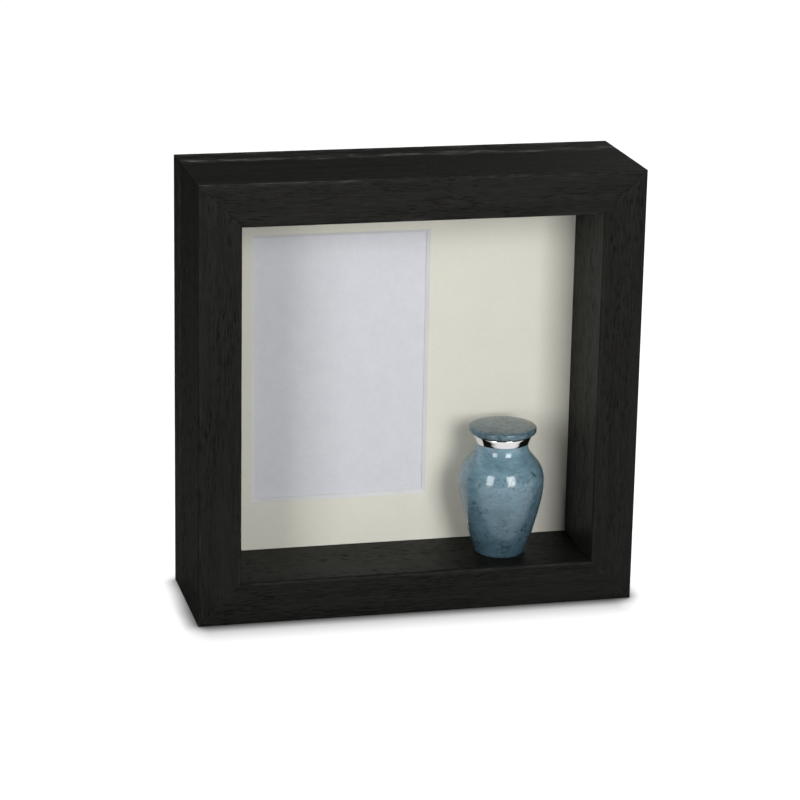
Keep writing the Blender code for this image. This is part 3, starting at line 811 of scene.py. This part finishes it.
def cross_recess(radius, depth, place):
    """The tool for a cross-head recess: two tapering slots at right angles."""
    tools = []
    for turn in (0, 90):
        bm = bmesh.new()
        top, bottom = radius * 0.62, radius * 0.22
        half = radius * 0.13
        ring = [bm.verts.new((x, y, 0.0005)) for x, y in rectangle(-top, top, -half, half)]
        low = [bm.verts.new((x, y, -depth)) for x, y in rectangle(-bottom, bottom, -half * 0.7, half * 0.7)]
        join_loops(bm, [ring, low])
        bm.faces.new(ring)
        bm.faces.new(low)
        bm.transform(place @ Matrix.Rotation(math.radians(turn), 4, "Z"))
        tools.append(bm)
    return tools


def screw(name, node, profile, place, head_radius, recess_depth, top, steel, turn):
    """A lathed screw with a cross recess in its head."""
    bm = bmesh.new()
    add_lathe(bm, profile, 40)
    made = new_object(name, bm, place)
    tools = cross_recess(head_radius, recess_depth,
                         place @ Matrix.Translation((0, 0, top)) @ Matrix.Rotation(turn, 4, "Z"))
    cut(made, *tools)
    soften(made, 0.00006, 2, 40)
    shade(made, 35)
    stand_in(made, node, steel)


def make_rear_screws(steel):
    """Countersunk cross-head screws."""
    rng = random.Random(3)
    for side, degrees in SIDES.items():
        for end in "ab":
            node = f"rear_screw_{side}_{end}"
            low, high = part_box(node)
            head = (high.x - low.x) / 2
            length = high.y - low.y
            shank = REAR_SHANK
            profile = [(0, -length), (shank * 0.4, -length + 0.001), (shank, -length + 0.004),
                       (shank, shank - head - 0.0002), (head - 0.0001, -0.0002), (head, -0.0001),
                       (head - 0.00008, 0), (0, 0)]
            place = facing_back((low.x + high.x) / 2, high.y, (low.z + high.z) / 2)
            screw(node + "_steel", node, profile, place, head, 0.0012, 0, steel, rng.uniform(0, 1.5))


def make_button_screws(steel):
    """Low domed pan head screws that the turn buttons swivel on."""
    rng = random.Random(5)
    for side in SIDES:
        node = "button_screw_" + side
        low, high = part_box(node)
        head = (high.x - low.x) / 2
        height = BUTTON_HEAD_HEIGHT
        tip = high.y - height - low.y
        shank = BUTTON_SHANK
        dome = [(head * math.cos(a), 0.0005 + (height - 0.0005) * math.sin(a))
                for a in (math.radians(90 * i / 8) for i in range(8))]
        profile = [(0, -tip), (shank * 0.4, -tip + 0.0008), (shank, -tip + 0.002), (shank, 0),
                   (head - 0.0001, 0), (head, 0.0001)] + dome + [(0, height)]
        place = facing_back((low.x + high.x) / 2, high.y - height, (low.z + high.z) / 2)
        screw(node + "_steel", node, profile, place, head * 0.8, 0.001, height, steel, rng.uniform(0, 1.5))


def make_turn_buttons(steel):
    """Pressed steel fingers with rounded edges and a shallow groove pressed along them."""
    pivot_radius = screw_centre("button_screw_top").z - MIDDLE_Z
    low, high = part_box("turn_button_top")
    end = (high.x - low.x) / 2
    reach = pivot_radius - (low.z - MIDDLE_Z) - BUTTON_TIP_RADIUS
    outline = arc((0, -reach), BUTTON_TIP_RADIUS, 180, 360, 14) + arc((0, 0), end, 0, 180, 18)
    rib_outline = arc((0, -reach), RIB_RADIUS, 180, 360, 8) + arc((0, -RIB_START), RIB_RADIUS, 0, 180, 8)
    thickness = high.y - low.y
    for side, degrees in SIDES.items():
        node = "turn_button_" + side
        place = side_matrix(degrees) @ Matrix.Translation((0, low.y - FRONT_Y, pivot_radius))
        bm = bmesh.new()
        add_prism(bm, outline, 0, thickness)
        made = new_object(node + "_steel", bm, place)
        hole = bmesh.new()
        bore = [(0, -0.001), (BUTTON_HOLE_RADIUS, -0.001), (BUTTON_HOLE_RADIUS, 0.003), (0, 0.003)]
        add_lathe(hole, bore, 32, place @ facing_back(0, 0, 0))
        rib = bmesh.new()
        add_prism(rib, rib_outline, thickness - 0.00025, thickness + 0.001)
        rib.transform(place)
        cut(made, hole, rib)
        soften(made, 0.00022, 3, 40)
        shade(made, 35)
        stand_in(made, node, steel)


def make_hanger(steel):
    """The toothed strip and its two small flat-headed screws."""
    low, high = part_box("sawtooth_hanger")
    pitch = TOOTHED_LENGTH / TEETH
    outline = [(low.x, low.z)]
    for i in range(TEETH):
        start = i * pitch - TOOTHED_LENGTH / 2
        outline += [(start + 0.1 * pitch, low.z), (start + 0.5 * pitch, low.z + TOOTH_DEPTH),
                    (start + 0.9 * pitch, low.z)]
    outline += [(high.x, low.z), (high.x, high.z), (low.x, high.z)]
    bm = bmesh.new()
    add_prism(bm, outline, low.y, high.y)
    strip = new_object("sawtooth_hanger_steel", bm)
    seats = []
    for end in ("left", "right"):
        node = "hanger_screw_" + end
        spot = screw_centre(node)
        seat = bmesh.new()
        profile = [(0, -0.002), (0.0009, -0.002), (0.0009, -0.0007), (0.0017, -0.0005), (0.0017, 0.001),
                   (0, 0.001)]
        add_lathe(seat, profile, 32, facing_back(spot.x, high.y, spot.z))
        seats.append(seat)
    cut(strip, *seats)
    soften(strip, 0.0001, 2, 40)
    shade(strip, 35)
    stand_in(strip, "sawtooth_hanger", steel)
    for end, turn in (("left", 0.4), ("right", 1.1)):
        node = "hanger_screw_" + end
        screw_low, screw_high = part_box(node)
        head = (screw_high.x - screw_low.x) / 2
        length = screw_high.y - screw_low.y
        profile = [(0, -length), (0.0006, -length + 0.0012), (0.0006, -0.0005), (head, -0.0004),
                   (head, -0.0001), (head - 0.0001, 0), (0, 0)]
        place = facing_back((screw_low.x + screw_high.x) / 2, screw_high.y, (screw_low.z + screw_high.z) / 2)
        screw(node + "_steel", node, profile, place, head, 0.00035, 0, steel, turn)


# The urn -------------------------------------------------------------------------------------------------

def smooth_outline(points, steps):
    """A Catmull-Rom curve through (height, radius) points, returned as (radius, height) points."""
    rows = [Vector(p) for p in points]
    rows = [2 * rows[0] - rows[1]] + rows + [2 * rows[-1] - rows[-2]]
    curve = []
    for before, start, end, after in zip(rows, rows[1:], rows[2:], rows[3:]):
        for i in range(steps):
            t = i / steps
            point = (2 * start + (end - before) * t + (2 * before - 5 * start + 4 * end - after) * t ** 2
                     + (3 * start - before - 3 * end + after) * t ** 3) / 2
            curve.append((point.y, point.x))
    curve.append((points[-1][1], points[-1][0]))
    return curve


BELLY = ((0.0014, 0.0132), (0.0055, 0.0146), (0.0115, 0.0168), (0.0175, 0.0185), (0.0234, 0.0200),
         (0.0293, 0.0213), (0.0350, 0.0221), (0.0400, 0.0223), (0.0440, 0.0218), (0.0475, 0.0205),
         (0.0503, 0.0187), (0.0525, 0.0168), (0.0548, 0.0149), (0.0568, 0.0139), (0.0585, 0.0136),
         (0.0600, 0.0137))


def thread(depth, widest, span):
    """A right-hand V thread for add_lathe, on the surfaces within a radius and between two heights."""
    def addition(radius, angle, height):
        if radius >= widest or not span[0] < height < span[1]:
            return 0
        turns = (height / THREAD_PITCH - angle / (2 * math.pi)) % 1
        return depth * abs(2 * turns - 1)
    return addition


def make_urn_body(enamel, brass):
    """The shell, from the foot's recess up the outside and down the threaded bore to the inside."""
    outside = smooth_outline(BELLY, 5)
    inside = [(radius - URN_WALL, height) for radius, height in reversed(outside) if 0.006 < height < 0.0525]
    profile = [(0, 0.0014), (0.0113, 0.0014), (0.0115, 0.0012), (0.0115, 0.0002)]
    profile += arc((0.0122, 0.0007), 0.0006, 250, 330, 4)
    profile += outside + [(0.0135, 0.0602), (0.0126, URN_BODY_TOP), (0.0126, BORE_TOP), (0.0124, 0.0648),
                          (0.0108, 0.0648), (BORE_RADIUS, BORE_TOP)]
    profile += [(BORE_RADIUS, BORE_TOP - i * THREAD_PITCH / THREAD_STEPS) for i in range(1, 41)]
    profile += [(BORE_RADIUS, BORE_BOTTOM)] + inside + [(inside[-1][0] - 0.002, 0.0036), (0, 0.0034)]
    bm = bmesh.new()
    add_lathe(bm, profile, URN_SEGMENTS, helix=thread(-BORE_THREAD_DEPTH, 0.0108, BORE_THREAD))
    body = new_object("urn_body_enamel", bm, URN_PLACE)
    stand_in(body, "urn_body", enamel, brass)
    for polygon in body.data.polygons:
        centre = polygon.center - URN_PLACE.translation
        radius = math.hypot(centre.x, centre.y)
        inward = polygon.normal.x * centre.x + polygon.normal.y * centre.y < 1e-6
        hidden = (inward or radius < 0.011) and centre.z > 0.002
        polygon.material_index = 1 if hidden or centre.z > URN_BODY_TOP else 0
    shade(body, 50)


def make_band(chrome):
    """The polished collar, flared towards the lid."""
    profile = [(BAND_BORE, URN_BODY_TOP)] + arc((0.0140, 0.0607), 0.0003, 240, 340, 4)
    profile += [(0.0146, 0.0618), (0.0150, 0.0628), (0.01535, 0.0638)]
    profile += arc((0.01515, 0.0645), 0.0004, -10, 90, 6) + [(BAND_BORE, 0.0649)]
    bm = bmesh.new()
    add_lathe(bm, profile, URN_SEGMENTS, ring=True)
    band = new_object("urn_neck_band_chrome", bm, URN_PLACE)
    shade(band, 50)
    stand_in(band, "urn_neck_band", chrome)


def make_washer(rubber):
    low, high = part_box("urn_lid_washer")
    outer = (high.x - low.x) / 2
    bottom, top = low.z - FLOOR_Z - 0.0002, high.z - FLOOR_Z + 0.0002
    half = (top - bottom) / 2
    profile = (arc((outer - half, bottom + half), half, -90, 90, 8)
               + arc((WASHER_BORE + half, bottom + half), half, 90, 270, 8))
    bm = bmesh.new()
    add_lathe(bm, profile, 96, ring=True)
    washer = new_object("urn_lid_washer_rubber", bm, URN_PLACE)
    shade(washer, 50)
    stand_in(washer, "urn_lid_washer", rubber)


def make_lid(enamel, brass):
    """A thick disc with a rounded rim and a shallow dome, on a threaded brass plug."""
    edge = 0.0012
    plug = [(0, PLUG_BOTTOM), (0.0092, PLUG_BOTTOM), (PLUG_RADIUS, 0.0607)]
    step = THREAD_PITCH / THREAD_STEPS
    rows = int((LID_SEAT - 0.0607) / step)
    plug += [(PLUG_RADIUS, 0.0607 + (i + 1) * step) for i in range(rows)]
    flat = LID_RADIUS - 0.0013
    crown = LID_RIM_TOP + 0.0009
    dome = [(flat * math.cos(a), crown + (LID_TOP - crown) * math.sin(a))
            for a in (math.radians(90 * i / 14) for i in range(1, 14))]
    disc = [(PLUG_RADIUS, LID_SEAT), (LID_SEAT_RADIUS, LID_SEAT), (LID_SEAT_RADIUS, LID_RIM_BOTTOM)]
    disc += arc((LID_RADIUS - edge, LID_RIM_BOTTOM + edge), edge, -90, 0, 6)
    disc += arc((LID_RADIUS - 0.0011, LID_RIM_TOP - 0.0002), 0.0011, 0, 80, 7) + dome + [(0, LID_TOP)]
    bm = bmesh.new()
    add_lathe(bm, plug + disc, URN_SEGMENTS, helix=thread(PLUG_THREAD_DEPTH, 0.0098, PLUG_THREAD))
    lid = new_object("urn_lid_enamel", bm, URN_PLACE)
    stand_in(lid, "urn_lid", enamel, brass)
    for polygon in lid.data.polygons:
        centre = polygon.center - URN_PLACE.translation
        under = math.hypot(centre.x, centre.y) < LID_SEAT_RADIUS - 0.0002 and centre.z < LID_SEAT + 0.0002
        polygon.material_index = 1 if under else 0
    shade(lid, 50)


def make_base_pad(felt):
    """The felt under the foot, from the niche floor up into the foot's recess."""
    flat = PAD_RADIUS - 0.0002
    profile = [(0, 0.0001), (flat, 0.0001), (PAD_RADIUS, 0.0003), (PAD_RADIUS, 0.0011), (flat, 0.0013),
               (0, 0.0013)]
    bm = bmesh.new()
    add_lathe(bm, profile, 96)
    pad = new_object("urn_base_pad_felt", bm, URN_PLACE)
    shade(pad, 50)
    stand_in(pad, "urn_base_pad", felt)


# Studio --------------------------------------------------------------------------------------------------

def make_camera():
    yaw, pitch, roll = (math.radians(angle) for angle in (CAMERA_YAW, CAMERA_PITCH, CAMERA_ROLL))
    forward = Vector((math.sin(yaw) * math.cos(pitch), math.cos(yaw) * math.cos(pitch), math.sin(pitch)))
    level = Vector((math.cos(yaw), -math.sin(yaw), 0))
    upright = level.cross(forward)
    right = math.cos(roll) * level + math.sin(roll) * upright
    up = math.cos(roll) * upright - math.sin(roll) * level
    data = bpy.data.cameras.new("camera")
    data.lens = CAMERA_LENS
    data.sensor_width = 36
    camera = bpy.data.objects.new("camera", data)
    bpy.context.scene.collection.objects.link(camera)
    turn = Matrix((right, up, -forward)).transposed().to_4x4()
    camera.matrix_world = Matrix.Translation(CAMERA_PLACE) @ turn
    bpy.context.scene.camera = camera


def softbox(name, target, azimuth, elevation, distance, width, height, watts):
    """A rectangular lamp aimed at a point, and not seen by the camera itself."""
    a, e = math.radians(azimuth), math.radians(elevation)
    direction = Vector((math.sin(a) * math.cos(e), -math.cos(a) * math.cos(e), math.sin(e)))
    data = bpy.data.lights.new(name, "AREA")
    data.shape = "RECTANGLE"
    data.size = width
    data.size_y = height
    data.energy = watts
    lamp = bpy.data.objects.new(name, data)
    lamp.visible_camera = False
    bpy.context.scene.collection.objects.link(lamp)
    lamp.location = target + direction * distance
    lamp.rotation_mode = "QUATERNION"
    lamp.rotation_quaternion = direction.to_track_quat("Z", "Y")


def make_world():
    """White behind the object, and a dim room with a brighter ceiling for the light it gives."""
    world = bpy.data.worlds.new("studio")
    bpy.context.scene.world = world
    tree = Tree(world)
    world.node_tree.nodes.clear()
    height = tree.add("SeparateXYZ", {0: tree.add("TexCoord").outputs["Generated"]}).outputs["Z"]
    room = tree.remap(height, 0.55, 0.9, ROOM_LIGHT, CEILING_LIGHT)
    seen = tree.add("LightPath").outputs["Is Camera Ray"]
    shown = tree.add("Background", {"Color": grey(1.0), "Strength": 1.05})
    given = tree.add("Background", {"Color": grey(1.0), "Strength": room})
    both = tree.add("MixShader", {0: seen, 1: given.outputs[0], 2: shown.outputs[0]})
    tree.add("OutputWorld", {"Surface": both.outputs[0]})


def make_floor():
    """A white studio floor, lit from within: painted shade where something stands close over it, a painted
    drop shadow at a fixed place ahead of the box's front, and a dimmer glow just in front of the box that
    lights it as bounce and sheen.
    """
    bm = bmesh.new()
    size = FLOOR_HALF_SIZE
    corners = [(x, y, 0) for x, y in rectangle(-size, size, -size, size)]
    bm.faces.new([bm.verts.new(corner) for corner in corners])
    floor = new_object("studio_floor", bm)
    material, tree, put = new_material("studio_white", (0.15, 0.15, 0.15), roughness=0.9,
                                       specular_ior_level=0.05)
    put["Emission Color"].default_value = grey(1.0)
    open_air = tree.add("AmbientOcclusion", {"Distance": CONTACT_REACH}, samples=16).outputs["AO"]
    place = tree.add("SeparateXYZ", {0: tree.object_space()}).outputs
    # A painted shadow: a fixed strip ahead of the box's front face, darkest at the face and fading to the
    # sides and forwards.
    right = OUTER - SHADOW_SHIFT
    left = OUTER + SHADOW_SHIFT
    across = tree.maths("MULTIPLY", tree.remap(place["X"], -left - SHADOW_FADE, SHADOW_FADE - left),
                        tree.remap(place["X"], right - SHADOW_FADE, right + SHADOW_FADE, 1.0, 0.0))
    near = tree.remap(place["Y"], FRONT_Y - SHADOW_REACH, FRONT_Y)
    ahead = tree.maths("MULTIPLY", tree.maths("MULTIPLY", near, near),
                       tree.remap(place["Y"], FRONT_Y + 0.3 * DEPTH, FRONT_Y + 0.7 * DEPTH, 1.0, 0.0))
    shadow = tree.maths("MULTIPLY", ahead, across)
    lit = tree.maths("SUBTRACT", 1.0, tree.maths("MULTIPLY", shadow, SHADOW_DEPTH))
    paths = tree.add("LightPath").outputs
    returned = tree.remap(paths["Is Glossy Ray"], 0, 1, FLOOR_BOUNCE, FLOOR_SHEEN)
    bounce = tree.maths("MULTIPLY", tree.remap(place["Y"], FRONT_Y - 0.03, FRONT_Y, 1.0, 0.0), returned)
    shown = tree.maths("MAXIMUM", tree.maths("MULTIPLY", paths["Is Camera Ray"], lit), bounce)
    glow = tree.maths("MULTIPLY", tree.remap(open_air, 0.45, 1.0, CONTACT_LIGHT, 1.0), shown)
    tree.feed(put["Emission Strength"], glow)
    floor.data.materials.append(material)


def make_studio():
    target = Vector((0, 0, MIDDLE_Z))
    make_world()
    for name, settings in SOFTBOXES.items():
        softbox(name, target, *settings)
    make_floor()
    bpy.context.scene.view_settings.view_transform = "Standard"


def main():
    steel, brass = steel_material(), brass_material()
    make_camera()
    make_rails(wood_material())
    make_mat(card_material("cream_mat_card", (0.700, 0.688, 0.600), (0.760, 0.748, 0.662), 700),
             card_material("white_mat_core", (0.66, 0.665, 0.665), (0.74, 0.745, 0.745), 1500))
    make_print(print_material())
    make_backing(hardboard_material())
    make_rear_screws(steel)
    make_button_screws(steel)
    make_turn_buttons(steel)
    make_hanger(steel)
    for node, obj in frame["nodes"].items():
        if "v_nail" in node:
            obj.data.materials.clear()
            obj.data.materials.append(steel)
    make_urn_body(enamel_material("marbled_enamel", 1.0, 0.5, 0.0), brass)
    make_band(chrome_material())
    make_washer(rubber_material())
    make_lid(enamel_material("marbled_enamel_lid", 0.6, 0.32, 0.2), brass)
    make_base_pad(felt_material())
    make_studio()


main()
